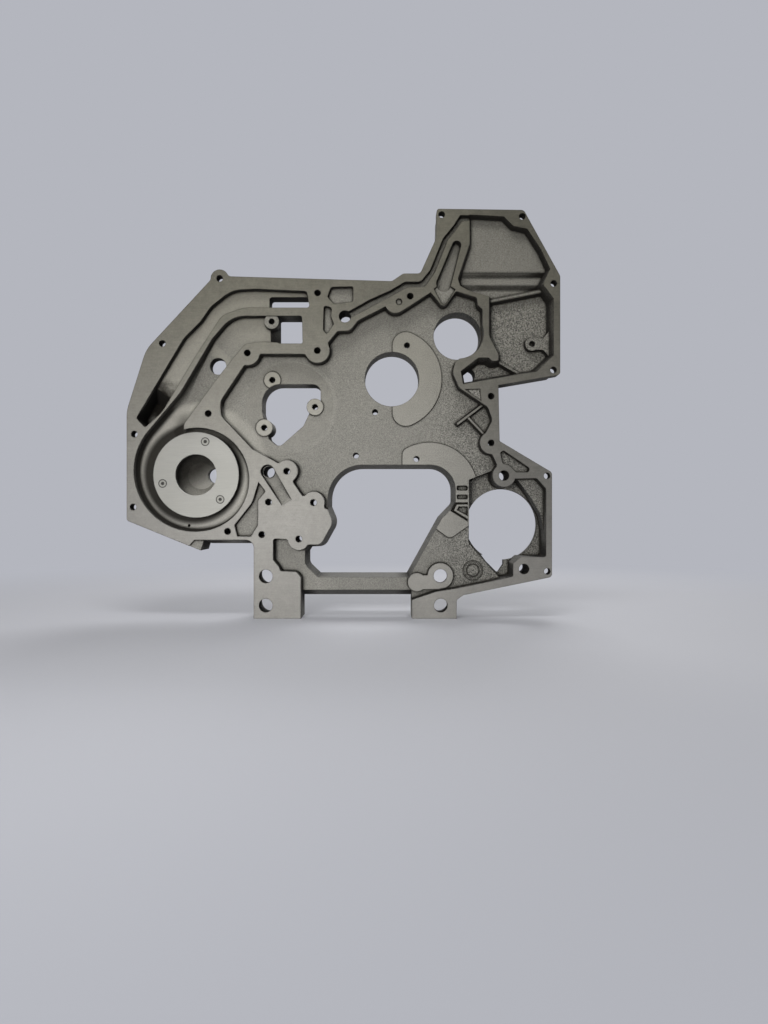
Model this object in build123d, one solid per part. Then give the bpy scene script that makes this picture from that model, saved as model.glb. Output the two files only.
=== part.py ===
from build123d import *
import math
import os

# Front gear housing of a heavy diesel engine, seen and modelled from the gear cover side.
# Millimetres. X runs to the right, Z up, and Y from the front flange face to the engine block.
# The shapes are drawn with Y as the depth behind the front flange face, and moved at the end,
# so that the origin is where the axis of the idler bore meets the face that bolts to the block.
# Corners of outlines are (x, z, rounding radius), all in the plane of the front face.

# Depths behind the front flange face
BODY_DEPTH = 72.0
WING_DEPTH = 50.0
TRAY_DEPTH = 42.0
GEAR_FLOOR = 24.0
CHANNEL_FLOOR = 14.0
SCROLL_FLOOR = 28.0
GROOVE_FLOOR = 13.0
POCKET_FLOOR = 10.0
PUMP_POCKET_FLOOR = 60.0
TRAY_FLOOR = 33.0
TRAY_SHELF = 27.0
TRAY_TOP_FLOOR = 14.0
TRAY_MID_FLOOR = 19.0
REAR_HOLLOW_START = 33.0
FLANGE_THICKNESS = 24.0
LEG_THICKNESS = 20.0

# Heights that stand up from the floor, given as the depth of their tops
THRUST_PAD_TOP = 22.0
KEYHOLE_PAD_TOP = 12.0
RIB_TOP = 12.0
TRAY_RIB_TOP = 20.0
SLOT_FLOOR = 34.0
TAB_STEP = 3.0

# Bores and holes, as radii
IDLER_BORE_R = 47.0
DRIVE_BORE_R = 41.0
DRIVE_RIM = 2.0
PUMP_OPENING_R = 62.5
FLANGE_BOLT_R = 5.5
FLOOR_BOLT_R = 5.0
NOTCH_R = 11.0
NOTCH_RUN = 40.0
DOWEL_R = 8.7
LEG_HOLE_R = 11.5
LEG_SPOT_FACE_R = 16.5
BOSS_R = 19.0
DOWEL_BOSS_R = 19.5
STUD_BOSS_R = 14.5
OIL_PORT_R = 10.2
CHANNEL_DRAIN_R = 14.2
TRAY_DRAIN_R = 12.8
COLLAR_WALL = 9.0

# Rounding of joined corners and of the volute floor, and draft angles in degrees
JOIN_ROUND = 4.0
LUG_ROUND = 8.0
SCROLL_ROUND = 11.0
OPENING_DRAFT = 6.0
TRAY_DRAFT = 11.0
RIB_DRAFT = 9.0

# Wear plate and its screws
PLATE_R = 73.2
PLATE_BORE_R = 35.3
PLATE_THICKNESS = 6.0
PLATE_FACE = 10.0
SPIGOT_WALL = 4.0
SPIGOT_LENGTH = 5.0
PLATE_FIT = 0.2
SCREW_RING_R = 59.0
SCREW_ANGLES = (74.5, 194.5, 314.5)
SCREW_R = 3.0
SCREW_HEAD_R = 6.4
SCREW_LENGTH = 20.0
SCREW_FIT = 0.15
SOCKET_R = 2.2
SOCKET_DEPTH = 2.6

# Places of the axes
IDLER = (0.0, 0.0)
DRIVE = (113.0, 74.5)
PUMP = (-335.4, -165.9)
PUMP_OPENING = (193.8, -251.6)
UPPER_DOWEL = (190.5, -167.5)
LOWER_DOWEL = (224.5, -326.5)
OIL_PORT = (-80.0, 103.0)
CHANNEL_STUD = (-204.7, 94.6)
CHANNEL_DRAIN = (-300.0, 22.0)
TRAY_DRAIN = (131.5, 7.2)
TRAY_STUD = (241.5, 60.0)
LUG = (-293.0, 167.5)
LUG_R = 15.3
LEG_HOLE_TOP = -339.0
LEG_HOLE_PITCH = 49.5
LEG_HOLE_X = (-214.5, 83.0)
DIAL = (139.7, -330.2)
DIAL_R = 16.5
DIAL_INNER_R = 11.5
DIAL_WALL = 1.5
DIAL_HEIGHT = 0.8

LIP_FLOOR = 3.0
TEARDROP_FLOOR = 17.0
TEARDROP_TOP = (110.0, 224.0)
TEARDROP_LOW = (88.0, 159.0)
TEARDROP_TOP_R = 7.6
TEARDROP_LOW_R = 12.7
RETURN_HOLE = (-211.7, -160.7)
RETURN_RUN = (33.0, -53.0)
RETURN_R = 11.5
RETURN_DRILL_R = 9.5
RETURN_FLOOR = 22.0
CORE_START = (-384.0, -32.0)
CORE_HEADING = 233.0
CORE_FLOOR = 62.0
CORE_RAMP = 22.0
CORE_RUN = 90.0
RAMP_LENGTH = 15.0
RISE_START = (-326.0, -52.0)
RISE_HEADING = 45.0
RISE_RUN = 200.0
RISE_WIDTH = 240.0
RAMP_MARGIN = 1.0
TONGUE = (-353.8, -89.3)
TONGUE_ANGLE = 105.0
SCROLL_ARCS = [(88.0, -75.0), (104.0, -220.0)]
SCROLL_RUN_OUT = 85.0
INLET_FLOOR = 55.0
INLET_CONE = 16.0
INLET_PORT = (-310.9, -165.8)
INLET_PORT_R = 13.0
BLIND_SPOT = (12.0, 128.0)
BLIND_DEPTH = 3.0
SCROLL_DRAIN = (-351.0, -253.0)
SCROLL_DRAIN_R = 2.3
CHANNEL_STUD_R = 12.6
TRAY_STUD_R = 11.7
FACET_DEPTH = 1.5
BAR_DRAFT = 12.0
FLANGE_DRAFT = 8.0
DRAFT_ROOT = 5.0
BAR_UNDERSIDE = [((-60.5, -364.0), 189.0)]
FLANGE_UNDERSIDE = [((-277.5, -277.0), 85.0)]
KEYHOLE_END = (43.0, -350.0)
KEYHOLE_END_R = 15.8
KEYHOLE_R = 22.0
KEYHOLE_NECK = 24.0

# Ribs as start, end and width
FLOOR_RIBS = [((158, -44), (112, -79), 3.6), ((131, -68), (162, -101), 3.6)]
TRAY_RIBS = [((160, 132), (262, 152), 7), ((174, 35), (232, 1), 4)]

BOSSED_BOLTS = [(-179.0, -160.0), (-133.5, -213.5), (-158.5, -275.5), (168.5, -112.0)]
TALL_BOSSED_BOLTS = [(-127.0, 45.0), (-246.0, 41.0)]
TALL_BOSS_R = 21.0
FLAT_BOLTS = [
    (-312.5, -62.0), (-279.5, -262.5), (-126.5, 143.0), (-210.0, -212.5),
    (-221.5, -268.0), (31.0, 137.5), (168.5, -32.5),
]
# Bolts at the outer edge, each with the heading of the notch that opens behind its flange
EDGE_BOLTS = [
    (LUG, 90), ((-390.5, 57.0), 137), ((-438.0, -97.0), 180), ((-440.0, -221.0), 200), ((84.5, 276.0), 135),
    ((221.5, 273.0), 45), ((275.0, 159.0), 15), ((274.5, 12.0), -40), ((263.5, -168.0), 45),
    ((264.0, -330.5), -45),
]
FLOOR_BOLTS = [(26.0, 58.0), (-29.0, -57.0), (-62.0, -132.0), (42.5, -138.0)]
CAM_STUDS = [(-206.3, -1.7), (-220.3, -84.0), (-132.7, -48.3)]

BODY = [
    (-451, -244, 6), (-451, -57, 60), (-418, 47, 60), (-303, 171, 0), (-272, 171, 0), (0, 163, 8),
    (19, 176, 10), (48, 176, 8), (75, 236, 20), (76, 286, 5), (224, 284, 8), (286, 172, 10),
    (286, 4, 6), (181, -14, 0), (183, -109, 3), (272, -162, 8), (272, -340, 7), (121, -371, 12),
    (110, -379, 7), (110, -411, 0), (34, -411, 0), (34, -364, 0), (-155, -364, 0), (-155, -411, 0),
    (-235, -411, 0), (-235, -277, 14), (-320, -277, 0), (-326, -295, 0),
]
RECESS = [
    (-207, -139, 0), (-238, -122, 8), (-291, -66, 16), (-292, -41, 20), (-246, 28, 0),
    (-235, 39.5, 0), (-124, 39, 0), (-93, 78, 5), (-71, 79, 12), (-58, 96, 4), (-11, 120, 0),
    (1, 102, 18), (66, 144, 0), (88, 117, 7), (109, 146, 3), (144, 135, 5), (146, 122, 3),
    (154, 115, 3), (154, 75, 0), (121, 36, 0), (108, 26, 6), (103, 8, 16), (114, -18, 12),
    (163, -51, 12), (171, -73, 14), (156, -102, 0), (166, -122, 0), (178.5, -149, 4),
    (176, -160, 0), (190, -172, 0), (190, -343, 5), (107, -360, 20), (75, -365, 10), (22, -383, 5),
    (-155, -383, 5), (-155, -340, 4), (-163, -331, 7), (-190, -330, 4), (-192, -323, 4),
    (-202, -311, 4), (-202, -275, 4), (-165, -276, 0), (-143, -285, 0), (-88, -285, 5),
    (-88, -232, 5), (-124, -220, 0), (-133, -213, 0), (-148, -209, 0), (-175, -169, 0),
    (-184, -152, 0),
]
CRANK_OPENING = [
    (-110, -148, 60), (110, -148, 44), (110, -216, 15), (86, -241, 12), (30, -342, 0),
    (-128, -342, 6), (-150, -321, 18), (-150, -296, 7), (-144, -286, 0), (-121, -285, 12),
    (-100, -247, 20), (-111, -221, 0),
]
CAM_OPENING = [
    (-224, -9, 32), (-123, -9, 14), (-123, -39, 0), (-142, -58, 0), (-153, -81, 12),
    (-195, -118, 10), (-213, -103, 5), (-218, -79, 0), (-224, -57, 8),
]
OUTER_CHANNEL = [
    (-435, -70, 5), (-354, 66, 30), (-326, 94, 30), (-308, 120, 50), (-272, 148, 50),
    (-233, 150, 50), (-145, 146, 5), (-140, 118, 4), (-253, 118, 60), (-289, 105, 30),
    (-335, 34, 80), (-391, -60, 60), (-420, -86, 4),
]
OUTER_CHANNEL_SLOT = [(-210, 139, 5), (-136, 139, 9), (-136, 118, 6), (-210, 118, 4)]
DISCHARGE_CHANNEL = [
    (-306, 65, 60), (-272, 104, 50), (-153, 104, 5), (-152, 57, 3),
    (-221, 60, 30), (-250, 57, 20), (-294, 2, 60), (-354, -80, 8),
]
DISCHARGE_END = [(-194, 104, 3), (-153, 104, 4), (-152, 57, 3), (-194, 57, 3)]
PUMP_POCKET = [
    (133, -174, 3), (152, -166.5, 0), (172, -159, 0), (190, -172, 0), (209, -172.5, 0),
    (217, -174, 0), (238, -202, 20), (257, -234, 30), (262, -262, 20), (262, -306, 4),
    (219, -306, 3), (206, -317, 3), (206, -339, 3), (186.5, -343.5, 0), (133, -284, 4),
]
PUMP_POCKET_LEDGE = [
    (208, -173, 0), (246, -172, 6), (262, -190, 5), (262, -280, 0), (235, -280, 0), (208, -184, 0),
]
PUMP_OPENING_LOBE = [(158, -305, 0), (166, -316, 0), (187, -337, 3), (197, -322, 0), (197, -300, 0)]
TRAY = [
    (132, 276, 0), (190, 273, 0), (206, 257, 5), (230, 252, 0), (254, 216, 0), (269, 184, 0),
    (257, 158, 5), (275, 133, 0), (275, 37, 0), (246, 9, 0), (219, 5, 0), (121, -12, 0),
    (117, 10, 0), (147, 33, 0), (164, 33, 0), (171, 27, 6), (181, 28, 3), (181, 39, 4),
    (165, 70, 12), (165, 137, 0), (133, 146, 0), (116, 155, 0), (112, 167, 0), (121, 194, 0),
    (132, 226, 10),
]
TRAY_END = (-60, 300)
TRAY_STEPS = [
    (TRAY_END[1], TRAY_TOP_FLOOR, 0), (183, TRAY_MID_FLOOR, 5), (175, TRAY_SHELF, 5),
    (163, TRAY_SHELF, 5), (155, TRAY_FLOOR, 6), (TRAY_END[0], TRAY_FLOOR, 0),
    (TRAY_END[0], -1, 0), (TRAY_END[1], -1, 0),
]
TRAY_WEB = [
    (236, 50, 0), (261, 50, 8), (270, 39, 0), (290, 39, 0), (290, 81, 0), (270, 81, 0), (261, 70, 8),
    (236, 70, 0),
]
TAB = [(-346, -288, 0), (-336, -277, 0), (-316, -277, 0), (-316, -300, 0), (-346, -300, 0)]
OIL_GROOVE = [
    (-78, 109, 0), (-37, 132, 20), (-3, 147, 40), (22, 162, 8), (49, 162, 12), (65, 182, 14),
    (87, 236, 14), (105, 258, 8), (116, 275, 0), (134, 275, 0), (134, 266, 0), (119, 265, 5),
    (109, 250, 8), (95, 233, 14), (73, 178, 14), (56, 153, 10), (27, 153, 10), (0, 138, 40),
    (-68, 102, 0),
]
OIL_LIP = [(71, 150, 0), (88, 117, 6), (108, 149, 0), (88, 162, 0)]
POCKETS = [
    [(-227, -179, 0), (-215, -194, 3), (-228, -210, 3), (-228, -252, 3), (-240, -271, 0),
     (-263, -271, 0), (-268, -252, 0), (-238, -214, 30)],
    [(-110, 136, 4), (-104, 153, 6), (-66, 154, 3), (-66, 128, 4), (-99, 124, 5)],
    [(-116, 122, 4), (-102, 118, 5), (-104, 104, 4), (-99, 90, 0), (-111, 72, 3), (-117, 80, 3)],
    [(184, -128, 3), (190, -125, 3), (236, -156, 5), (231, -162, 3), (211, -162, 4),
     (199, -150, 6), (188, -147, 4)],
]
IDLER_PAD_R = 86.0
IDLER_PAD_EDGE = 1.0
IDLER_PAD_ROUND = 23.0
CRANK_PAD_CENTRE = (65.0, -193.0)
CRANK_PAD_R = 83.5
CRANK_PAD_ROUND = 12.0
CRANK_PAD_AREA = [
    (18, -100, 0), (18, -240, 0), (134, -240, 0), (134, -185, 0), (160, -160, 0), (160, -100, 0),
]
CRANK_PAD_LOW = [
    (76, -258, 0), (100, -276, 12), (134, -252, 0), (134, -238, 0), (104, -224, 0), (84, -238, 0),
]
# Slots across the bridge between the crank opening and the pump pocket
BRIDGE_SLOTS = [
    [(112, -184, 3), (131, -184, 3), (131, -192.5, 3), (112, -192.5, 3)],
    [(112, -199.5, 3), (131, -199.5, 3), (131, -207.5, 3), (112, -207.5, 3)],
    [(110, -213, 0), (131, -213, 0), (131, -216.5, 0), (112, -216.5, 0), (107, -227, 0),
     (131, -241.5, 0), (131, -246, 0), (101, -227.5, 0)],
    [(115.5, -220, 0), (131, -220, 0), (131, -236.5, 0), (112, -226, 0)],
]
FACET = [(124, -21, 0), (150, -20, 0), (152, -41, 0)]
REAR_TRAY = [(60, 132, 10), (168, 132, 10), (168, -20, 6), (300, -20, 0), (300, 300, 0), (60, 300, 0)]
REAR_WING = [
    (-480, -8, 0), (-310, -8, 12), (-262, 56, 12), (-100, 56, 12), (-60, 140, 10), (-60, 210, 0),
    (-480, 210, 0),
]
REAR_HOLLOW = [
    (-108, -136, 8), (-108, 28, 8), (-74, 66, 8), (-8, 104, 8), (62, 130, 8), (140, 118, 8),
    (142, 60, 8), (98, 10, 8), (106, -22, 8), (150, -52, 8), (158, -74, 8), (144, -100, 8),
    (150, -136, 8),
]
REAR_BARS = [((-140, 0), (-40, 0)), ((0, -40), (0, -160)), ((-10, 40), (-40, 140))]
REAR_LEG_HOLLOW = [(100, -262, 6), (62, -330, 6), (122, -345, 6), (170, -338, 6), (118, -280, 6)]


def rounded(corners):
    """Face from corners of two coordinates and a rounding radius each."""
    points = [(u, v) for u, v, radius in corners]
    radii = [radius for u, v, radius in corners]
    return make_face(FilletPolyline(*points, radius=radii, close=True))


def flat(corners):
    """Face in the front plane, from corners with a rounding radius each."""
    return Plane.XZ * rounded(corners)


def disc(spot, radius):
    """Round face in the front plane."""
    return Plane.XZ * Pos(spot[0], spot[1]) * Circle(radius)


def prism(face, front, back, taper=0):
    """Solid of a front-plane face between two depths behind the flange face."""
    return extrude(Pos(0, front, 0) * face, amount=back - front, dir=(0, 1, 0), taper=taper)


def peg(spot, radius, front, back):
    """Cylinder along Y between two depths."""
    return prism(disc(spot, radius), front, back)


def round_floor(cutter, radius):
    """Rounds the edges round the deepest face of a cutter."""
    floor = cutter.faces().sort_by(lambda f: f.center().Y)[-1]
    return fillet(floor.edges(), radius)


def turned(spot, profile):
    """Solid of a profile (radius, depth) turned round an axis that runs back from a spot."""
    axis_plane = Plane(origin=(spot[0], 0, spot[1]), x_dir=(1, 0, 0), z_dir=(0, 0, 1))
    return revolve(
        axis_plane * make_face(Polyline(*profile, close=True)), Axis((spot[0], 0, spot[1]), (0, 1, 0))
    )


def near(spot, radius):
    """Filter for vertices that lie on a circle in the front plane."""
    return lambda v: abs(math.hypot(v.X - spot[0], v.Z - spot[1]) - radius) < 0.01


def bar_face(start, end, width):
    """Long narrow face between two points of the front plane."""
    (x1, z1), (x2, z2) = start, end
    length = math.hypot(x2 - x1, z2 - z1)
    turn = math.degrees(math.atan2(z2 - z1, x2 - x1))
    return Plane.XZ * Pos((x1 + x2) / 2, (z1 + z2) / 2) * Rot(0, 0, turn) * Rectangle(length, width)


def teardrop(top, top_r, low, low_r):
    """Face round two discs of the front plane."""
    return Plane.XZ * make_hull((Pos(*top) * Circle(top_r) + Pos(*low) * Circle(low_r)).edges())


def blank():
    """Outer form: the flange outline with the lifting lug, thinner at the wing and the tray."""
    outline = flat(BODY) + disc(LUG, LUG_R)
    corners = outline.vertices().filter_by(near(LUG, LUG_R))
    body = prism(fillet(corners, LUG_ROUND), 0, BODY_DEPTH)
    body -= prism(flat(REAR_TRAY), TRAY_DEPTH, BODY_DEPTH + 1)
    body -= prism(flat(REAR_WING), WING_DEPTH, BODY_DEPTH + 1)
    return body


def recess():
    """The space of the gear train, with the bolt bosses left standing in it."""
    floor = flat(RECESS) + disc(DRIVE, DRIVE_BORE_R + DRIVE_RIM)
    floor = fillet(floor.vertices().filter_by(near(DRIVE, DRIVE_BORE_R + DRIVE_RIM)), JOIN_ROUND)
    bosses = [(spot, BOSS_R) for spot in BOSSED_BOLTS]
    bosses += [(spot, TALL_BOSS_R) for spot in TALL_BOSSED_BOLTS]
    bosses.append((UPPER_DOWEL, DOWEL_BOSS_R))
    for spot, radius in bosses:
        floor -= disc(spot, radius)
        floor = fillet(floor.vertices().filter_by(near(spot, radius)), JOIN_ROUND)
    return prism(floor, -1, GEAR_FLOOR)


def pump_pocket():
    """Deep pocket round the fuel pump opening, and its shallow corner ledge."""
    deep = flat(PUMP_POCKET)
    ledge = flat(PUMP_POCKET_LEDGE)
    through = (disc(PUMP_OPENING, PUMP_OPENING_R) & deep) + flat(PUMP_OPENING_LOBE)
    boss = disc(UPPER_DOWEL, DOWEL_BOSS_R)
    return (
        prism(deep - boss, -1, PUMP_POCKET_FLOOR)
        + prism(ledge - boss, -1, GEAR_FLOOR)
        + prism(through - boss, PUMP_POCKET_FLOOR - 1, BODY_DEPTH + 1)
    )


def scroll():
    """Outer edge of the volute: arcs round the ring, each running on smoothly from the last."""
    arcs = []
    start, heading = Vector(*TONGUE), TONGUE_ANGLE
    for radius, end in SCROLL_ARCS:
        centre = start - radius * Vector(1, 0).rotate(Axis.Z, heading)
        arcs.append(CenterArc(centre, radius, heading, end - heading))
        start, heading = arcs[-1] @ 1, end
    return arcs


def volute():
    """Scroll of the water pump and its discharge channel, round the ring that carries the plate."""
    arcs = scroll()
    start, end = arcs[0] @ 0, arcs[-1] @ 1
    run_out = end + SCROLL_RUN_OUT * (arcs[-1] % 1)
    corners = [(run_out.X, run_out.Y)] + [(x, z) for x, z, radius in DISCHARGE_CHANNEL]
    radii = [SCROLL_RUN_OUT] + [radius for x, z, radius in DISCHARGE_CHANNEL]
    channel = FilletPolyline((end.X, end.Y), *corners, (start.X, start.Y), radius=radii)
    cutter = prism(Plane.XZ * make_face(Curve() + [*arcs, channel]), -1, SCROLL_FLOOR)
    cutter = round_floor(cutter, SCROLL_ROUND)
    rise = [
        (0, SCROLL_FLOOR, 0), (RISE_RUN, CHANNEL_FLOOR, 0), (RISE_WIDTH, CHANNEL_FLOOR, 0),
        (RISE_WIDTH, SCROLL_FLOOR + 1, 0), (0, SCROLL_FLOOR + 1, 0),
    ]
    cutter -= along(RISE_START, RISE_HEADING, rise, RISE_WIDTH)
    seat = PLATE_FACE + PLATE_THICKNESS
    return cutter - peg(PUMP, PLATE_R, seat, SCROLL_FLOOR + 1)


def along(start, heading, profile, width):
    """Solid of a profile (distance, depth, rounding) that runs along a heading in the front plane."""
    direction = Vector(1, 0, 0).rotate(Axis.Y, -heading)
    side = direction.cross(Vector(0, 1, 0))
    plane = Plane(origin=(start[0], 0, start[1]), x_dir=direction, z_dir=side)
    return extrude(plane * rounded(profile), width / 2, both=True)


def outer_channel():
    """Outer water channel, with its slot to the block and the cored passage at its low end."""
    outline = flat(OUTER_CHANNEL)
    channel = prism(outline, -1, CHANNEL_FLOOR)
    ramp = [
        (0, CHANNEL_FLOOR - 1, 0), (0, CHANNEL_FLOOR, 0), (CORE_RAMP, CORE_FLOOR, 0),
        (CORE_RUN, CORE_FLOOR, 0), (CORE_RUN, CHANNEL_FLOOR - 1, 0),
    ]
    core = along(CORE_START, CORE_HEADING, ramp, CORE_RUN) & prism(outline, 0, CORE_FLOOR + 1)
    return channel + core + prism(flat(OUTER_CHANNEL_SLOT), CHANNEL_FLOOR - 1, BODY_DEPTH)


def discharge_end():
    """Window to the block at the end of the discharge channel, with the ramp into it."""
    left, top = DISCHARGE_END[0][:2]
    right, bottom = DISCHARGE_END[2][:2]
    back = WING_DEPTH + 1
    ramp = [
        (-RAMP_LENGTH, CHANNEL_FLOOR, 0), (0, back, 0), (RAMP_LENGTH, back, 0),
        (RAMP_LENGTH, CHANNEL_FLOOR, 0),
    ]
    slope = along((left, (top + bottom) / 2), 0, ramp, top - bottom - 2 * RAMP_MARGIN)
    return prism(flat(DISCHARGE_END), -1, back) + slope


def inlet():
    """Bore of the pump ring, the inlet chamber behind it and its port."""
    seat = PLATE_FACE + PLATE_THICKNESS
    spigot_r = PLATE_BORE_R + SPIGOT_WALL + PLATE_FIT
    chamber = [
        (0, seat - 1), (spigot_r, seat - 1), (spigot_r, INLET_FLOOR - INLET_CONE),
        (spigot_r - INLET_CONE, INLET_FLOOR), (0, INLET_FLOOR),
    ]
    return turned(PUMP, chamber) + peg(INLET_PORT, INLET_PORT_R, INLET_FLOOR - INLET_CONE, BODY_DEPTH + 1)


def tray():
    """Open tray at the upper right: a sloping upper floor, two steps and a lower floor."""
    floor = along((TRAY_STUD[0], 0), 90, TRAY_STEPS, 2 * (TRAY_END[1] - TRAY_END[0]))
    cutter = prism(flat(TRAY), 0, TRAY_FLOOR + 1, taper=TRAY_DRAFT) & floor
    stud = disc(TRAY_STUD, TRAY_STUD_R) + flat(TRAY_WEB)
    cutter -= prism(stud, TRAY_RIB_TOP, TRAY_FLOOR + 2)
    for start, end, width in TRAY_RIBS:
        cutter -= prism(bar_face(start, end, width), TRAY_RIB_TOP, TRAY_FLOOR + 2, taper=-RIB_DRAFT)
    return cutter


def oil_passages():
    """Slanted gallery along the top rail, teardrop slot, lip and the low return groove."""
    gallery = prism(flat(OIL_GROOVE), -1, GROOVE_FLOOR)
    outline = teardrop(TEARDROP_TOP, TEARDROP_TOP_R, TEARDROP_LOW, TEARDROP_LOW_R)
    return gallery + prism(outline, -1, TEARDROP_FLOOR) + prism(flat(OIL_LIP), -1, LIP_FLOOR)


def return_groove():
    """Slanted groove from a drilling in the lower pad that runs out to the face."""
    (x, z), run = RETURN_HOLE, RETURN_RUN
    heading = math.degrees(math.atan2(run[1], run[0]))
    length = math.hypot(*run)
    profile = [(0, -1, 0), (0, RETURN_FLOOR, 0), (length, 0, 0), (length, -1, 0)]
    slope = along(RETURN_HOLE, heading, profile, length)
    end = (x + run[0], z + run[1])
    reach = teardrop(RETURN_HOLE, RETURN_R, end, RETURN_DRILL_R)
    return (
        (slope & prism(reach, -1, RETURN_FLOOR))
        + peg(RETURN_HOLE, RETURN_R, -1, RETURN_FLOOR)
        + peg(RETURN_HOLE, RETURN_DRILL_R, -1, BODY_DEPTH + 1)
    )


def notch(spot, heading):
    """Face of a round-ended notch that runs from a bolt out past the edge of the flange."""
    run = NOTCH_RUN * Vector(1, 0).rotate(Axis.Z, heading)
    return disc(spot, NOTCH_R) + bar_face(spot, (spot[0] + run.X, spot[1] + run.Y), 2 * NOTCH_R)


def holes():
    """Every drilled hole, with the spot faces and notches that are cut from the back."""
    back = BODY_DEPTH + 1
    drilled = [peg(spot, FLANGE_BOLT_R, -1, back) for spot in BOSSED_BOLTS + TALL_BOSSED_BOLTS + FLAT_BOLTS]
    for spot, heading in EDGE_BOLTS:
        drilled.append(peg(spot, FLANGE_BOLT_R, -1, back))
        drilled.append(prism(notch(spot, heading), FLANGE_THICKNESS, back))
    drilled += [peg(spot, FLOOR_BOLT_R, 0, back) for spot in FLOOR_BOLTS + CAM_STUDS]
    drilled += [peg(spot, DOWEL_R, -1, back) for spot in (UPPER_DOWEL, LOWER_DOWEL)]
    for x in LEG_HOLE_X:
        for z in (LEG_HOLE_TOP, LEG_HOLE_TOP - LEG_HOLE_PITCH):
            drilled.append(peg((x, z), LEG_HOLE_R, -1, back))
            drilled.append(peg((x, z), LEG_SPOT_FACE_R, LEG_THICKNESS, back))
    drilled.append(peg(OIL_PORT, OIL_PORT_R, -1, back))
    drilled.append(peg(CHANNEL_STUD, FLOOR_BOLT_R, -1, back))
    drilled.append(peg(CHANNEL_DRAIN, CHANNEL_DRAIN_R, 0, back))
    drilled.append(peg(TRAY_DRAIN, TRAY_DRAIN_R, TRAY_FLOOR - 1, back))
    drilled.append(peg(TRAY_STUD, FLOOR_BOLT_R, 0, TRAY_FLOOR))
    drilled.append(peg(BLIND_SPOT, FLANGE_BOLT_R, -1, BLIND_DEPTH))
    drilled.append(peg(SCROLL_DRAIN, SCROLL_DRAIN_R, 0, back))
    return drilled


def through_openings():
    """Crank and cam openings and the two gear bores."""
    crank = prism(flat(CRANK_OPENING), GEAR_FLOOR, BODY_DEPTH + 1, taper=OPENING_DRAFT)
    crank += prism(flat(CRANK_OPENING), -1, GEAR_FLOOR)
    cam = flat(CAM_OPENING)
    for spot in CAM_STUDS[1:]:
        cam -= disc(spot, STUD_BOSS_R)
    return [
        crank,
        prism(cam, 0, BODY_DEPTH + 1),
        peg(IDLER, IDLER_BORE_R, 0, BODY_DEPTH + 1),
        peg(DRIVE, DRIVE_BORE_R, 0, BODY_DEPTH + 1),
    ]


def rear_hollows():
    """Hollows of the block side, with a collar left round each bore and bolt."""
    outline = flat(REAR_HOLLOW)
    outline -= disc(IDLER, IDLER_BORE_R + COLLAR_WALL)
    outline -= disc(DRIVE, DRIVE_BORE_R + COLLAR_WALL)
    for spot in FLOOR_BOLTS:
        outline -= disc(spot, FLOOR_BOLT_R + COLLAR_WALL)
    for start, end in REAR_BARS:
        outline -= bar_face(start, end, COLLAR_WALL)
    outline += flat(REAR_LEG_HOLLOW)
    return prism(outline, REAR_HOLLOW_START, BODY_DEPTH + 1)


def thrust_pads():
    """Milled pads: a crescent right of the idler bore, and two by the crank opening."""
    right_half = [
        (IDLER_PAD_EDGE, -IDLER_PAD_R, 0), (IDLER_PAD_R, -IDLER_PAD_R, 0), (IDLER_PAD_R, IDLER_PAD_R, 0),
        (IDLER_PAD_EDGE, IDLER_PAD_R, 0),
    ]
    crescent = disc(IDLER, IDLER_PAD_R) & flat(right_half)
    tips = crescent.vertices().filter_by_position(Axis.X, 0, 2 * IDLER_PAD_EDGE)
    ring = disc(CRANK_PAD_CENTRE, CRANK_PAD_R) & flat(CRANK_PAD_AREA)
    corner = ring.vertices().filter_by(near(CRANK_PAD_CENTRE, CRANK_PAD_R)).sort_by(Axis.X)[0]
    return [fillet(tips, IDLER_PAD_ROUND), fillet(corner, CRANK_PAD_ROUND), flat(CRANK_PAD_LOW)]


def raised_details():
    """What stands up from the gear floor: thrust pads, keyhole pad, ribs and stud bosses."""
    base = GEAR_FLOOR + 1
    solids = [prism(pad, THRUST_PAD_TOP, base) for pad in thrust_pads()]
    keyhole = disc(KEYHOLE_END, KEYHOLE_END_R) + disc((LEG_HOLE_X[1], LEG_HOLE_TOP), KEYHOLE_R)
    keyhole += bar_face(KEYHOLE_END, (LEG_HOLE_X[1], KEYHOLE_END[1]), KEYHOLE_NECK)
    solids.append(prism(keyhole, KEYHOLE_PAD_TOP, base))
    for spot in CAM_STUDS:
        solids.append(peg(spot, STUD_BOSS_R, THRUST_PAD_TOP, base))
    for start, end, width in FLOOR_RIBS:
        solids.append(prism(bar_face(start, end, width), RIB_TOP, base, taper=-RIB_DRAFT))
    return solids


def drafts():
    """Casting draft that shows below the crossbar and below the pump flange."""
    bar = [
        (0, GEAR_FLOOR, 0), (-BAR_DRAFT, BODY_DEPTH, 0), (DRAFT_ROOT, BODY_DEPTH, 0),
        (DRAFT_ROOT, GEAR_FLOOR, 0),
    ]
    flange = [(0, 0, 0), (-FLANGE_DRAFT, BODY_DEPTH, 0), (DRAFT_ROOT, BODY_DEPTH, 0), (DRAFT_ROOT, 0, 0)]
    return [along(start, 90, bar, width) for start, width in BAR_UNDERSIDE] + [
        along(start, 90, flange, width) for start, width in FLANGE_UNDERSIDE
    ]


def dial():
    """Raised casting clock, left bare: an outer ring and a smaller one."""
    rings = [disc(DIAL, radius) - disc(DIAL, radius - DIAL_WALL) for radius in (DIAL_R, DIAL_INNER_R)]
    return [prism(ring, GEAR_FLOOR - DIAL_HEIGHT, GEAR_FLOOR + 1) for ring in rings]


def screw_spots():
    """Centres of the plate screws."""
    turns = [math.radians(angle) for angle in SCREW_ANGLES]
    return [(PUMP[0] + SCREW_RING_R * math.cos(a), PUMP[1] + SCREW_RING_R * math.sin(a)) for a in turns]


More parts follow.
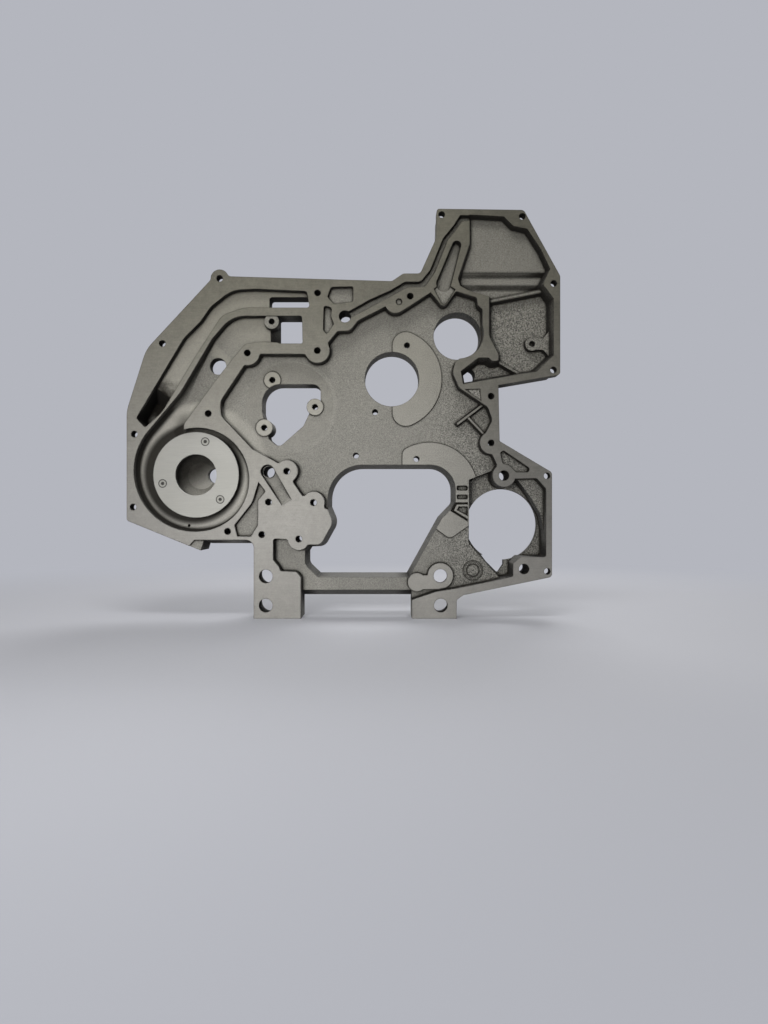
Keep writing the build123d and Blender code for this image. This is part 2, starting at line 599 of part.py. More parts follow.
def screw(spot, extra=0.0):
    """Countersunk screw, or with extra the hole that it sits in."""
    head = SCREW_HEAD_R + extra
    shank = SCREW_R + extra
    end = PLATE_FACE + SCREW_LENGTH + 2 * extra
    profile = [
        (0, PLATE_FACE), (head, PLATE_FACE), (shank, PLATE_FACE + head - shank), (shank, end), (0, end),
    ]
    return turned(spot, profile)


def plate_screws():
    """The three screws of the wear plate, each with a hexagon socket."""
    solids = []
    for spot in screw_spots():
        socket = Plane.XZ * Pos(*spot) * RegularPolygon(SOCKET_R, 6)
        solids.append(screw(spot) - prism(socket, PLATE_FACE - 1, PLATE_FACE + SOCKET_DEPTH))
    return solids


def wear_plate():
    """Turned plate in the mouth of the volute, with a spigot in the bore of the ring."""
    seat = PLATE_FACE + PLATE_THICKNESS
    plate = peg(PUMP, PLATE_R, PLATE_FACE, seat)
    plate += peg(PUMP, PLATE_BORE_R + SPIGOT_WALL, seat - 1, seat + SPIGOT_LENGTH)
    plate -= peg(PUMP, PLATE_BORE_R, PLATE_FACE - 1, seat + SPIGOT_LENGTH + 1)
    for spot in screw_spots():
        plate -= screw(spot, SCREW_FIT)
    return plate


def housing():
    """The casting, machined."""
    body = blank()
    for solid in drafts():
        body += solid
    body -= recess()
    for solid in raised_details() + dial():
        body += solid
    for corners in BRIDGE_SLOTS:
        body -= prism(flat(corners), -1, SLOT_FLOOR)
    body -= pump_pocket()
    body -= outer_channel()
    body -= volute()
    body -= discharge_end()
    body += peg(CHANNEL_STUD, CHANNEL_STUD_R, 1, SCROLL_FLOOR + 1)
    body -= inlet()
    body -= tray()
    body -= oil_passages()
    body -= return_groove()
    for corners in POCKETS:
        body -= prism(flat(corners), -1, POCKET_FLOOR)
    body -= prism(flat(FACET), -1, FACET_DEPTH)
    body -= prism(flat(TAB), -1, TAB_STEP)
    for solid in through_openings():
        body -= solid
    body -= rear_hollows()
    for solid in holes():
        body -= solid
    for spot in screw_spots():
        body -= screw(spot, SCREW_FIT)
    return body


to_block_face = Pos(0, -BODY_DEPTH, 0)
os.makedirs("parts", exist_ok=True)
export_step(to_block_face * housing(), "parts/housing.step")
export_step(to_block_face * wear_plate(), "parts/wear_plate.step")
export_step(to_block_face * Compound(children=plate_screws()), "parts/plate_screws.step")
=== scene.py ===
import math

import bmesh
import bpy
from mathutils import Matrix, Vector


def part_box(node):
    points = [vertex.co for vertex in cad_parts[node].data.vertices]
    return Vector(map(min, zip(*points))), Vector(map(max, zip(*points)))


bl_info = {
    "name": "Front gear housing finish",
    "version": (1, 0, 0),
    "blender": (4, 5, 0),
    "location": "3D View > Sidebar > Housing",
    "description": "Finishes of a cast front gear housing, with its stage, lamps and camera",
    "category": "Object",
}

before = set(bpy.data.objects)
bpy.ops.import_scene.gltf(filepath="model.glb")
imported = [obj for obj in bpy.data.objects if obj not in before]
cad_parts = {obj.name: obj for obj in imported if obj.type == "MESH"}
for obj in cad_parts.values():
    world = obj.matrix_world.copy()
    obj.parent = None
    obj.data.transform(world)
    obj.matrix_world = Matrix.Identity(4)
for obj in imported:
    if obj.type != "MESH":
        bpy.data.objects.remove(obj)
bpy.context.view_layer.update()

# Depth of the front flange face, height of the floor, and places that the finishes follow, in metres
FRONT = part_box("housing")[0][1]
FLOOR_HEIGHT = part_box("housing")[0][2]
PUMP = tuple((low + high) / 2 for low, high in zip(*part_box("wear_plate")))
GROOVE_CENTRE = (PUMP[0] - 0.0080, 0.0, PUMP[2] + 0.0026)
TONGUE = (-0.352, 0.0, -0.082)
CAM_CENTRE = (-0.176, 0.0, -0.046)
CORE_HOLE = (-0.399, 0.0, -0.046)
CORE_DIVIDE = (-0.381, 0.0, -0.036)
TRAY_RIB = (0.211, 0.0, 0.142)
DIAL = (0.1397, 0.0, -0.3302)
DIAL_RINGS = (0.0170, 0.0108)

# Headings in the front plane, as parts along X and Z (the inlet's slant isn't of unit length)
ACROSS_RIB = (-0.192, 0.981)
ACROSS_DIVIDE = (0.841, -0.540)
INLET_SLANT = (-0.6, 1.0)

# Reaches from an axis or a line, each blend from where it starts to where it is complete
SCROLL_REACH = (0.118, 0.130)
MOAT_REACH = (0.0800, 0.0915)
TONGUE_REACH = (0.008, 0.030)
INLET_REACH = (0.066, 0.070)
CAM_REACH = (0.0745, 0.0785)
TURNED_RING = ((0.0735, 0.0755), (0.0800, 0.0830))
TURNED_BESIDE = ((0.074, 0.078), (0.100, 0.125))
CORE_REACH = (0.036, 0.072)
RIB_FLANKS = ((0.0006, 0.0020), (0.0050, 0.0065))
DIAL_LINE = (0.0004, 0.0013)
DIVIDE_LINE = (-0.002, 0.004)
INLET_SHADE = (-0.026, 0.020)

# Blends along X and, for the painted shade toward the top, up Z
CHANNEL_RIGHT_END = (-0.115, -0.105)
RIB_RUN = ((0.155, 0.165), (0.262, 0.268))
TOP_SHADE_RISE = (-0.30, 0.30)

# The wear plate's screws, the dark seams round them, and the rims and sockets that get painted shade
SCREW_RING = 0.059
SCREW_ANGLES = (74.5, 194.5, 314.5)
SCREWS = [
    (PUMP[0] + SCREW_RING * math.cos(turn), 0.0, PUMP[2] + SCREW_RING * math.sin(turn))
    for turn in map(math.radians, SCREW_ANGLES)
]
SCREW_SEAM = 0.0067
SEAM_LINE = (0.0004, 0.0010)
SCREW_SOCKET = (0.0026, 0.0032)
SCREW_RIM = (0.0052, 0.0062)
PLATE_RIM = (0.0720, 0.0732)

# Depths behind the front face, each blend from where it starts to where it is complete
FRONT_FACE_END = (0.0003, 0.0009)
REAR_FACE_START = (0.0711, 0.0717)
KEYHOLE_DEPTHS = ((0.0112, 0.0116), (0.0124, 0.0128))
CHANNEL_DEPTHS = ((0.0128, 0.0134), (0.0165, 0.0235))
PAD_DEPTHS = ((0.0212, 0.0216), (0.0224, 0.0228))
CORE_START = (0.009, 0.013)
SCROLL_START = (0.012, 0.014)
INLET_START = (0.017, 0.019)
RIB_FLANK_START = (0.018, 0.019)
CAM_FLOOR_START = (0.020, 0.022)
GEAR_FLOOR_START = (0.023, 0.0235)
FRONT_SIDE_END = (0.0635, 0.0655)

# Blends of the facing, which goes from 0 on a wall that runs along Y to 1 on a face square to it
WALL = (0.30, 0.85)
FLAT = (0.90, 0.98)
SCROLL_WALL = (0.70, 0.995)
PLATE_WALL = (0.35, 0.80)

# Tilt away from square that counts as a draft, the turn to the rear, and the most painted shade that a
# downward lean gets
DRAFT_TILT = (0.04, 0.30)
REARWARD = (-0.3, -0.1)
DARKEST_LEAN = -0.35

# How far inner corners and edges reach, and the blend of what is open there, for the painted shade in
# corners, at wall feet, at outer edges and in enclosed places
CORNER_REACH, CORNER_BLEND = 0.007, (0.42, 0.96)
WALL_FOOT_REACH, WALL_FOOT_BLEND = 0.0034, (0.50, 0.96)
EDGE_REACH, EDGE_BLEND = 0.0014, (0.55, 0.95)
ENCLOSED_REACH, ENCLOSED_BLEND = 0.030, (0.72, 0.98)
EDGE_ROUNDING = 0.0014

CASTING_METALLIC = 0.35
CASTING_SPECULAR = 0.3
STEEL_METALLIC = 0.35

# The photograph's camera: square to the housing, its distance from the front face, and its aim
CAMERA_DISTANCE = 1.467
CAMERA_AIM = (-0.0136, -0.2295)
CAMERA_LENS = 30.34
CAMERA_CLIP = 0.02
SENSOR = 36.0

# Soft lamps: name, place, aim, width and height, power in watts, and spread of the beam
LAMPS = (
    ("key", (-0.50, -1.95, -0.15), (-0.10, 0, -0.29), (0.5, 0.5), 2.6, math.radians(58)),
    ("top", (-0.10, -1.05, 1.35), (0, 0, 0.1), (0.8, 0.5), 11, math.pi),
    ("back", (0.4, 2.2, 1.6), (0, 0, 0), (1.5, 1.5), 36, math.pi),
)
DAYLIGHT = 0.27
FLOOR_SEGMENTS = 96
FLOOR_FADE = (0.5, 1.6)


class Value:
    """A socket of a node tree, so that shader maths reads as arithmetic."""

    def __init__(self, nodes, socket):
        self.nodes = nodes
        self.socket = socket

    def math(self, operation, *others):
        sockets = {0: self, **dict(enumerate(others, 1))}
        node = self.nodes.node("ShaderNodeMath", {"operation": operation}, sockets)
        return Value(self.nodes, node.outputs[0])

    def __add__(self, other):
        return self.math("ADD", other)

    def __radd__(self, other):
        return self.math("ADD", other)

    def __mul__(self, other):
        return self.math("MULTIPLY", other)

    def __rmul__(self, other):
        return self.math("MULTIPLY", other)

    def __sub__(self, other):
        return self.math("SUBTRACT", other)

    def __rsub__(self, other):
        return (self * -1.0) + other

    def __abs__(self):
        return self.math("ABSOLUTE")

    def clamp(self):
        return self.math("MINIMUM", 1.0).math("MAXIMUM", 0.0)

    def rise(self, low, high):
        """0 below low, 1 above high, smooth between."""
        sockets = {"Value": self, "From Min": low, "From Max": high}
        node = self.nodes.node("ShaderNodeMapRange", {"interpolation_type": "SMOOTHSTEP"}, sockets)
        return Value(self.nodes, node.outputs["Result"])

    def fall(self, low, high):
        """1 below low, 0 above high, smooth between."""
        return 1 - self.rise(low, high)

    def within(self, start, end):
        """1 between two blends, the first where it comes in and the second where it goes out."""
        return self.rise(*start) * self.fall(*end)

    def towards(self, other, share):
        """This value, replaced by another in the share given."""
        return self + (other - self) * share


class Nodes:
    """A node tree, with one way to add any node."""

    def __init__(self, tree):
        self.tree = tree

    def node(self, kind, settings=None, sockets=None):
        """Any node: its settings first, then the values or links of its sockets."""
        node = self.tree.nodes.new(kind)
        for key, value in (settings or {}).items():
            setattr(node, key, value)
        for key, value in (sockets or {}).items():
            self.plug(node.inputs[key], value)
        return node

    def plug(self, socket, value):
        if isinstance(value, Value):
            self.tree.links.new(value.socket, socket)
        elif isinstance(value, bpy.types.NodeSocket):
            self.tree.links.new(value, socket)
        elif socket.type == "VECTOR":
            socket.default_value = value[:3]
        else:
            socket.default_value = value

    def split(self, vector):
        node = self.node("ShaderNodeSeparateXYZ", None, {0: vector})
        return tuple(Value(self, out) for out in node.outputs)


class Finish(Nodes):
    """One procedural material, built from Object coordinates."""

    def __init__(self, name):
        self.material = bpy.data.materials.new(name)
        self.material.use_nodes = True
        super().__init__(self.material.node_tree)
        self.shader = self.tree.nodes["Principled BSDF"]
        self.place = self.node("ShaderNodeTexCoord").outputs["Object"]
        self.x, self.y, self.z = self.split(self.place)

    def normal(self):
        """Parts of the surface's normal along X, Y and Z."""
        return self.split(self.node("ShaderNodeNewGeometry").outputs["Normal"])

    def noise(self, scale, detail=2.0, roughness=0.5, stretch=(1, 1, 1), place=None):
        """Noise between 0 and 1, with its scale in features per metre."""
        mapping = self.node("ShaderNodeMapping", None, {"Vector": place or self.place, "Scale": stretch})
        sockets = {"Vector": mapping.outputs[0], "Scale": scale, "Detail": detail, "Roughness": roughness}
        return Value(self, self.node("ShaderNodeTexNoise", None, sockets).outputs["Fac"])

    def distance(self, centre):
        """Distance from an axis that runs along Y."""
        away_x, away_z = self.x - centre[0], self.z - centre[2]
        return (away_x * away_x + away_z * away_z).math("SQRT")

    def along(self, heading, centre):
        """How far past a centre, measured along a heading in the front plane."""
        return (self.x - centre[0]) * heading[0] + (self.z - centre[2]) * heading[1]

    def area(self, right_of=None, left_of=None, above=None, below=None, centre=(0, 0, 0)):
        """1 on the inner side of each blend given, measured along X or Z from a centre."""
        share = 1
        for axis, middle, low, high in (
            (self.x, centre[0], right_of, left_of), (self.z, centre[2], above, below),
        ):
            if low:
                share = (axis - middle).rise(*low) * share
            if high:
                share = (axis - middle).fall(*high) * share
        return share

    def to_screws(self):
        """Distance from the nearest of the plate screws."""
        first, second, third = (self.distance(spot) for spot in SCREWS)
        return first.math("MINIMUM", second).math("MINIMUM", third)

    def mix(self, factor, first, second):
        """Colour mix, from first to second."""
        node = self.node("ShaderNodeMix", {"data_type": "RGBA"}, {0: factor, 6: first, 7: second})
        return node.outputs[2]

    def scaled(self, colour, factor):
        """Colour made lighter or darker by a value."""
        node = self.node("ShaderNodeVectorMath", {"operation": "SCALE"}, {0: colour, "Scale": factor})
        return node.outputs[0]

    def bump(self, height, strength, distance, below=None):
        sockets = {"Height": height, "Strength": strength, "Distance": distance}
        if below is not None:
            sockets["Normal"] = below
        return self.node("ShaderNodeBump", None, sockets).outputs["Normal"]

    def shut_in(self, reach, blend, inside=False):
        """1 in inner corners within reach and 0 in the open; with inside, 1 at outer edges."""
        settings = {"samples": 6, "only_local": True, "inside": inside}
        openness = self.node("ShaderNodeAmbientOcclusion", settings, {"Distance": reach}).outputs["AO"]
        return 1 - Value(self, openness).rise(*blend)

    def softened(self, radius):
        """Normal rounded over the edges, as cast and deburred edges are."""
        return self.node("ShaderNodeBevel", {"samples": 4}, {"Radius": radius}).outputs["Normal"]

    def set(self, **sockets):
        for key, value in sockets.items():
            self.plug(self.shader.inputs[key.replace("_", " ")], value)


def srgb(red, green, blue):
    """Scene colour of a screen colour from 0 to 255."""
    def linear(level):
        level /= 255
        return level / 12.92 if level <= 0.04045 else ((level + 0.055) / 1.055) ** 2.4
    return (linear(red), linear(green), linear(blue), 1.0)


def total(*parts):
    """Sum of masks, each given with its share."""
    return sum(mask * share for mask, share in parts)


class CastingFinish(Finish):
    """Shot-blasted aluminium: grainy in the recesses, milled on the flange face and the pads."""

    def __init__(self, sizes):
        super().__init__("cast_aluminium")
        normal = self.normal()
        self.depth = self.y - FRONT
        self.facing = abs(normal[1])
        self.lean = normal[2]
        self.front_side = (normal[1] * -1.0).rise(*REARWARD) * self.depth.fall(*FRONT_SIDE_END)
        self.grain = self.noise(700, detail=2, roughness=0.6)
        self.speckle = self.noise(600, detail=1)
        self.patches = self.noise(9, detail=3, roughness=0.55)
        self.mottle = self.noise(70, detail=4, roughness=0.7)
        self.streaks = self.noise(26, detail=4, roughness=0.6, stretch=(1, 1, 30))
        self.height = self.z.rise(*TOP_SHADE_RISE)
        self.find_areas()
        self.find_pump_shades()
        self.connect(sizes)

    def find_areas(self):
        """Floors and pads by their depth, and how much of each is milled."""
        self.pads = self.depth.within(*PAD_DEPTHS)
        self.keyhole = self.depth.within(*KEYHOLE_DEPTHS)
        self.channels = self.depth.within(*CHANNEL_DEPTHS) * self.x.fall(*CHANNEL_RIGHT_END) * self.front_side
        beyond = self.area(right_of=(0.050, 0.075), above=(0.030, 0.050), centre=PUMP)
        self.scroll = self.distance(PUMP).fall(*SCROLL_REACH) * self.depth.rise(*SCROLL_START)
        self.scroll = self.scroll * self.front_side * (1 - beyond * 0.4)
        self.coarse = self.area(right_of=(0.03, 0.14), below=(0.11, 0.16)) * self.front_side

        from_cam = self.distance(CAM_CENTRE)
        cam = from_cam.fall(*CAM_REACH) * self.depth.rise(*CAM_FLOOR_START) * self.front_side
        faces = self.depth.fall(*FRONT_FACE_END) + self.depth.rise(*REAR_FACE_START)
        milled = total(
            (faces, 1), (self.pads, 0.45), (self.keyhole, 0.70), (cam, 0.50), (self.channels, 0.65),
            (self.scroll, 0.50),
        )
        flat = self.facing.rise(*FLAT)
        self.smooth = (milled * flat).clamp()
        self.rough = 1 - self.smooth

        beside = from_cam.within(*TURNED_BESIDE) * self.area(left_of=(-0.03, 0.02), centre=CAM_CENTRE)
        self.turned = (from_cam.within(*TURNED_RING) + beside).clamp() * flat * self.rough
        self.turned = self.turned * self.depth.rise(*GEAR_FLOOR_START) * self.front_side

    def find_pump_shades(self):
        """Painted shade of the scroll groove and of the inlet bore below the wear plate."""
        moat = self.distance(GROOVE_CENTRE).fall(*MOAT_REACH)
        tongue = self.distance(TONGUE).fall(*TONGUE_REACH)
        mouth = self.area(above=(0.045, 0.075), right_of=(-0.03, 0.0), centre=PUMP)
        walls = self.facing.fall(*SCROLL_WALL)
        self.scroll_shade = total((moat, 0.95), (walls, 1), (tongue, 0.50)).clamp() * (0.96 - mouth * 0.40)
        self.inlet = self.distance(PUMP).fall(*INLET_REACH) * self.depth.rise(*INLET_START) * self.front_side
        upper_left = self.along(INLET_SLANT, PUMP).rise(*INLET_SHADE)
        self.inlet_shade = total((upper_left, 0.82), (self.mottle, 0.20))

    def tone(self):
        """Lightness of the metal, with painted light and shade by place and slope in it: 1 is its plain
        colour.
        """
        foot = self.area(right_of=(-0.13, -0.08), below=(-0.24, -0.20)) * self.rough
        # Painted light on the milled faces at the lower right
        lit_low_right = self.area(right_of=(0.00, 0.08), below=(-0.34, -0.24)) * self.smooth
        # Painted shade at the upper right
        shaded_top_right = self.area(right_of=(0.10, 0.20), above=(0.10, 0.25))
        # Painted shade on surfaces that lean downward
        down_slope_shade = self.lean.math("MINIMUM", 0.0).math("MAXIMUM", DARKEST_LEAN)
        sand = (self.speckle.rise(0.34, 0.68) - 0.5) * (0.30 + self.coarse * 0.55)
        sand = sand + (self.grain - 0.5) * (0.9 + self.coarse)
        patches, mottle, streaks, grain = (
            noise - 0.5 for noise in (self.patches, self.mottle, self.streaks, self.grain)
        )
        # Painted shade toward the top of the milled faces, a painted highlight along the middle of the scroll
        # groove, and painted light in the inlet bore
        return 1 + total(
            (self.height, -0.02), (self.height * self.smooth, -0.34), (patches, 0.30), (mottle, 0.12),
            (mottle * self.smooth, 0.30), (sand * self.rough, 1), (streaks * self.smooth, 0.34),
            (grain * self.smooth, 0.45), (self.turned, 0.09), (self.channels, 0.30), (self.pads, 0.26),
            (self.keyhole, 0.12), (self.coarse, -0.16), (foot, -0.12), (down_slope_shade, 1),
            (self.scroll * (1 - self.scroll_shade), 0.60), (lit_low_right, 0.24), (shaded_top_right, -0.09),
            (shaded_top_right * self.smooth, -0.04), (self.inlet, 0.50),
        )

    def darkening(self):
        """Painted shade on walls, in corners and enclosed places, at wall feet and outer edges, in the deep
        core, on the rib's flanks, in the dial's rings, in the scroll groove and in the inlet bore: 0 is none,
        1 is full shade.
        """
        wall = self.facing.fall(*WALL)
        drafts = self.area(right_of=(0.135, 0.16)) * self.front_side * (1 - self.facing).rise(*DRAFT_TILT)
        enclosed = self.shut_in(ENCLOSED_REACH, ENCLOSED_BLEND)
        corners = self.shut_in(CORNER_REACH, CORNER_BLEND)
        wall_feet = self.shut_in(WALL_FOOT_REACH, WALL_FOOT_BLEND)
        edges = self.shut_in(EDGE_REACH, EDGE_BLEND, inside=True)

        outer_side = self.along(ACROSS_DIVIDE, CORE_DIVIDE).fall(*DIVIDE_LINE)
        core = (self.distance(CORE_HOLE) + self.mottle * 0.040).fall(*CORE_REACH) * outer_side
        core = core * self.depth.rise(*CORE_START) * self.front_side
        flanks = abs(self.along(ACROSS_RIB, TRAY_RIB)).within(*RIB_FLANKS) * self.x.within(*RIB_RUN)
        flanks = flanks * self.depth.rise(*RIB_FLANK_START) * self.front_side
        from_dial = self.distance(DIAL)
        rings = sum(abs(from_dial - radius).fall(*DIAL_LINE) for radius in DIAL_RINGS)

        # Painted shade on walls and drafted walls, in corners, at wall feet and outer edges, in the deep core
        # and on the rib's flanks
        dark = total(
            (wall, 0.28), (wall * enclosed, 0.80), (drafts, 0.25), (drafts * enclosed, 0.60), (corners, 0.60),
            (wall_feet, 0.85), (edges, 0.35), (core, 1), (flanks, 0.60),
        ).clamp()
        # Painted shade in the dial's rings
        dark = total((dark, 1), (rings * self.front_side, 0.55)).clamp()
        return dark.towards(self.scroll_shade, self.scroll).towards(self.inlet_shade, self.inlet)

    def connect(self, sizes):
        """Colour, gloss and relief, on the sockets of the shader."""
        # Painted shade, which also makes the casting rougher and less metallic where it lies
        dark = self.darkening()
        unshaded = 1 - dark
        # Painted shade toward the top, warmer and darker, strongest on the milled faces
        top_shade = self.height * (0.3 + self.smooth * 0.5)
        metal = self.mix(self.smooth, sizes.cast_colour, sizes.milled_colour)
        metal = self.scaled(self.mix(top_shade, metal, sizes.top_shade_colour), self.tone())
        gloss = 0.60 - self.smooth * 0.12 + (self.patches - 0.5) * 0.10
        relief = total((self.grain, 0.5), (self.speckle, 0.5)) * self.rough
        relief = self.bump(relief, strength=0.8, distance=0.0016, below=self.softened(EDGE_ROUNDING))
        relief = self.bump(self.streaks * self.smooth, strength=0.10, distance=0.0003, below=relief)
        self.set(
            Base_Color=self.mix(dark, metal, sizes.shade_and_seam_colour), Metallic=unshaded * CASTING_METALLIC,
            Roughness=gloss * unshaded + dark, Specular_IOR_Level=CASTING_SPECULAR, Normal=relief,
        )


def plate_finish(sizes):
    """Turned steel: fine rings round the axis of the pump."""
    f = Finish("turned_plate")
    radius = f.distance(PUMP)
    along = f.node("ShaderNodeCombineXYZ", None, {0: radius}).outputs[0]
    rings = f.noise(2600, detail=2, roughness=0.6, place=along)
    brushed = f.noise(40, detail=3, roughness=0.6, stretch=(1, 1, 22))
    stains = f.noise(22, detail=3, roughness=0.6)
    wall = abs(f.normal()[1]).fall(*PLATE_WALL)
    seam = abs(f.to_screws() - SCREW_SEAM).fall(*SEAM_LINE)
    tone = 1 + total((rings - 0.5, 0.14), (brushed - 0.5, 0.22), (stains - 0.5, 0.20))
    # Painted shade on the plate's side wall and at its rim, and dark seams round the screws
    darkening = total((wall, 0.7), (radius.rise(*PLATE_RIM), 0.5), (seam, 1)).clamp()
    colour = f.mix(darkening, f.scaled(sizes.plate_colour, tone), sizes.shade_and_seam_colour)
    relief = f.bump(rings + brushed, strength=0.2, distance=0.0003)
    f.set(Base_Color=colour, Metallic=STEEL_METALLIC, Roughness=0.48 + (stains - 0.5) * 0.12, Normal=relief)
    return f.material


def screw_finish(sizes):
    """Plain steel of the plate screws, with painted shade in the sockets and at the rims."""
    f = Finish("screw_steel")
    pits = f.noise(900, detail=2, roughness=0.6)
    radius = f.to_screws()
    darkening = total((radius.fall(*SCREW_SOCKET), 1), (radius.rise(*SCREW_RIM), 0.8)).clamp()
    colour = f.mix(darkening, f.scaled(sizes.screw_colour, 1 + (pits - 0.5) * 0.3), sizes.shade_and_seam_colour)
    relief = f.bump(pits, strength=0.2, distance=0.0003)
    f.set(Base_Color=colour, Metallic=STEEL_METALLIC, Roughness=0.5 + (pits - 0.5) * 0.2, Normal=relief)
    return f.material


def floor_finish(sizes):
    """Plain pale floor that keeps the housing's shadow and fades to the backdrop."""
    f = Finish("pale_floor")
    f.set(Base_Color=sizes.floor_colour, Roughness=0.85)
    across = (f.x * f.x + f.y * f.y).math("SQRT")
    seen = Value(f, f.node("ShaderNodeLightPath").outputs["Is Camera Ray"])
    far = f.node("ShaderNodeEmission", None, {"Color": sizes.backdrop_colour})
    sockets = {0: seen * across.rise(*FLOOR_FADE), 1: f.shader.outputs[0], 2: far.outputs[0]}
    blend = f.node("ShaderNodeMixShader", None, sockets)
    f.plug(f.tree.nodes["Material Output"].inputs["Surface"], blend.outputs[0])
    return f.material


def dress(node, material):
    """Gives a CAD node its finish."""
    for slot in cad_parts[node].material_slots:
        slot.material = material


def soft_lamp(name, place, aim, size, power, spread):
    """Soft lamp that looks at a point, with a beam as wide as its spread."""
    light = bpy.data.lights.new(name, "AREA")
    light.shape = "RECTANGLE"
    light.size, light.size_y = size
    light.spread = spread
    light.energy = power
    lamp = bpy.data.objects.new(name, light)
    lamp.location = place
    lamp.rotation_euler = (Vector(aim) - Vector(place)).to_track_quat("-Z", "Y").to_euler()
    bpy.context.collection.objects.link(lamp)


def pale_world(colour, daylight):
    """Background colour for what the camera and gloss see, and a weaker plain light for the rest."""
    world = bpy.data.worlds.new("studio")
    world.use_nodes = True
    sky = Nodes(world.node_tree)
    light = sky.tree.nodes["Background"]
    sky.plug(light.inputs["Color"], (1, 1, 1, 1))
    sky.plug(light.inputs["Strength"], daylight)
    rays = sky.node("ShaderNodeLightPath").outputs
    seen = Value(sky, rays["Is Camera Ray"])
    for kind in ("Is Glossy Ray", "Is Transmission Ray"):
        seen = seen.math("MAXIMUM", rays[kind])
    backdrop = sky.node("ShaderNodeBackground", None, {"Color": colour})
    mix = sky.node("ShaderNodeMixShader", None, {0: seen, 1: light.outputs[0], 2: backdrop.outputs[0]})
    sky.plug(sky.tree.nodes["World Output"].inputs["Surface"], mix.outputs[0])
    bpy.context.scene.world = world


class HousingSizes(bpy.types.PropertyGroup):
    """Colours and sizes that a user would change."""

    cast_colour: bpy.props.FloatVectorProperty(
        name="Cast colour", description="Colour of the shot-blasted casting", subtype="COLOR",
        size=4, min=0, max=1, default=srgb(131, 129, 122),
    )
    milled_colour: bpy.props.FloatVectorProperty(
        name="Milled colour", description="Colour of the milled flange face and pads", subtype="COLOR",
        size=4, min=0, max=1, default=srgb(117, 115, 110),
    )
    # Colour of the painted shade toward the top of the casting
    top_shade_colour: bpy.props.FloatVectorProperty(
        name="Tarnish colour", description="Warmer grey toward the top of the casting", subtype="COLOR",
        size=4, min=0, max=1, default=srgb(121, 117, 100),
    )
    plate_colour: bpy.props.FloatVectorProperty(
        name="Plate colour", description="Colour of the turned wear plate", subtype="COLOR",
        size=4, min=0, max=1, default=srgb(128, 127, 121),
    )
    # Colour of the painted shade on walls, in corners, sockets and grooves, and of the dark seams round the
    # screws
    shade_and_seam_colour: bpy.props.FloatVectorProperty(
        name="Grime colour", description="Colour of the oily walls and inner corners", subtype="COLOR",
        size=4, min=0, max=1, default=srgb(30, 27, 22),
    )
    screw_colour: bpy.props.FloatVectorProperty(
        name="Screw colour", description="Colour of the plate screws", subtype="COLOR",
        size=4, min=0, max=1, default=srgb(122, 121, 114),
    )
    floor_colour: bpy.props.FloatVectorProperty(
        name="Floor colour", description="Colour of the stage's floor", subtype="COLOR",
        size=4, min=0, max=1, default=srgb(205, 206, 212),
    )
    backdrop_colour: bpy.props.FloatVectorProperty(
        name="Backdrop colour", description="Colour behind the housing", subtype="COLOR",
        size=4, min=0, max=1, default=srgb(180, 182, 190),
    )
    floor_radius: bpy.props.FloatProperty(
        name="Floor radius", description="Radius of the round floor", subtype="DISTANCE", unit="LENGTH",
        default=6.0,
    )


def sizes_of(context):
    return context.scene.housing_sizes


class HOUSING_OT_casting(bpy.types.Operator):
    """Gives the casting its blasted and milled finish"""

    bl_idname = "housing.casting"
    bl_label = "Finish casting"

    def execute(self, context):
        dress("housing", CastingFinish(sizes_of(context)).material)
        return {"FINISHED"}


class HOUSING_OT_wear_plate(bpy.types.Operator):
    """Gives the wear plate and its screws their turned finish"""

    bl_idname = "housing.wear_plate"
    bl_label = "Finish wear plate"

    def execute(self, context):
        dress("wear_plate", plate_finish(sizes_of(context)))
        dress("plate_screws", screw_finish(sizes_of(context)))
        return {"FINISHED"}


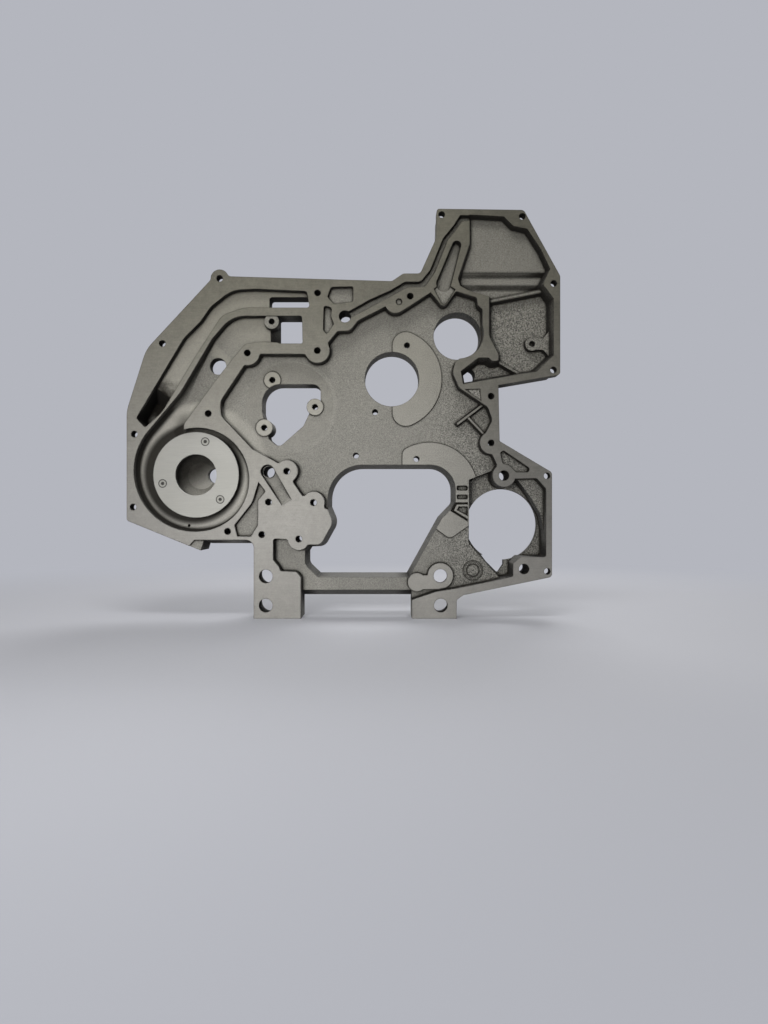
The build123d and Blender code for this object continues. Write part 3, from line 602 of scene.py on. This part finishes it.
class HOUSING_OT_stage(bpy.types.Operator):
    """Builds the floor, the lamps, the backdrop and the camera"""

    bl_idname = "housing.stage"
    bl_label = "Build stage"

    def execute(self, context):
        sizes = sizes_of(context)
        bm = bmesh.new()
        bmesh.ops.create_circle(bm, cap_ends=True, segments=FLOOR_SEGMENTS, radius=sizes.floor_radius)
        bmesh.ops.translate(bm, verts=bm.verts, vec=(0, 0, FLOOR_HEIGHT))
        mesh = bpy.data.meshes.new("floor")
        bm.to_mesh(mesh)
        bm.free()
        mesh.materials.append(floor_finish(sizes))
        floor = bpy.data.objects.new("floor", mesh)
        context.collection.objects.link(floor)

        for lamp in LAMPS:
            soft_lamp(*lamp)
        pale_world(sizes.backdrop_colour, DAYLIGHT)

        data = bpy.data.cameras.new("camera")
        data.sensor_fit = "VERTICAL"
        data.sensor_height = SENSOR
        data.lens = CAMERA_LENS
        data.clip_start = CAMERA_CLIP
        camera = bpy.data.objects.new("camera", data)
        camera.location = (CAMERA_AIM[0], FRONT - CAMERA_DISTANCE, CAMERA_AIM[1])
        camera.rotation_euler = (math.radians(90), 0, 0)
        context.collection.objects.link(camera)
        context.scene.camera = camera
        context.scene.view_settings.view_transform = "Standard"
        return {"FINISHED"}


OPERATORS = (HOUSING_OT_casting, HOUSING_OT_wear_plate, HOUSING_OT_stage)


class HOUSING_PT_panel(bpy.types.Panel):
    """Lists the housing's sizes and steps"""

    bl_idname = "HOUSING_PT_panel"
    bl_label = "Front gear housing"
    bl_space_type = "VIEW_3D"
    bl_region_type = "UI"
    bl_category = "Housing"

    def draw(self, context):
        for name in HousingSizes.__annotations__:
            self.layout.prop(sizes_of(context), name)
        for operator in OPERATORS:
            self.layout.operator(operator.bl_idname)


CLASSES = (HousingSizes, *OPERATORS, HOUSING_PT_panel)


def register():
    for cls in CLASSES:
        bpy.utils.register_class(cls)
    bpy.types.Scene.housing_sizes = bpy.props.PointerProperty(type=HousingSizes)


def unregister():
    del bpy.types.Scene.housing_sizes
    for cls in reversed(CLASSES):
        bpy.utils.unregister_class(cls)


def main():
    register()
    bpy.ops.housing.casting()
    bpy.ops.housing.wear_plate()
    bpy.ops.housing.stage()


if __name__ == "__main__":
    main()
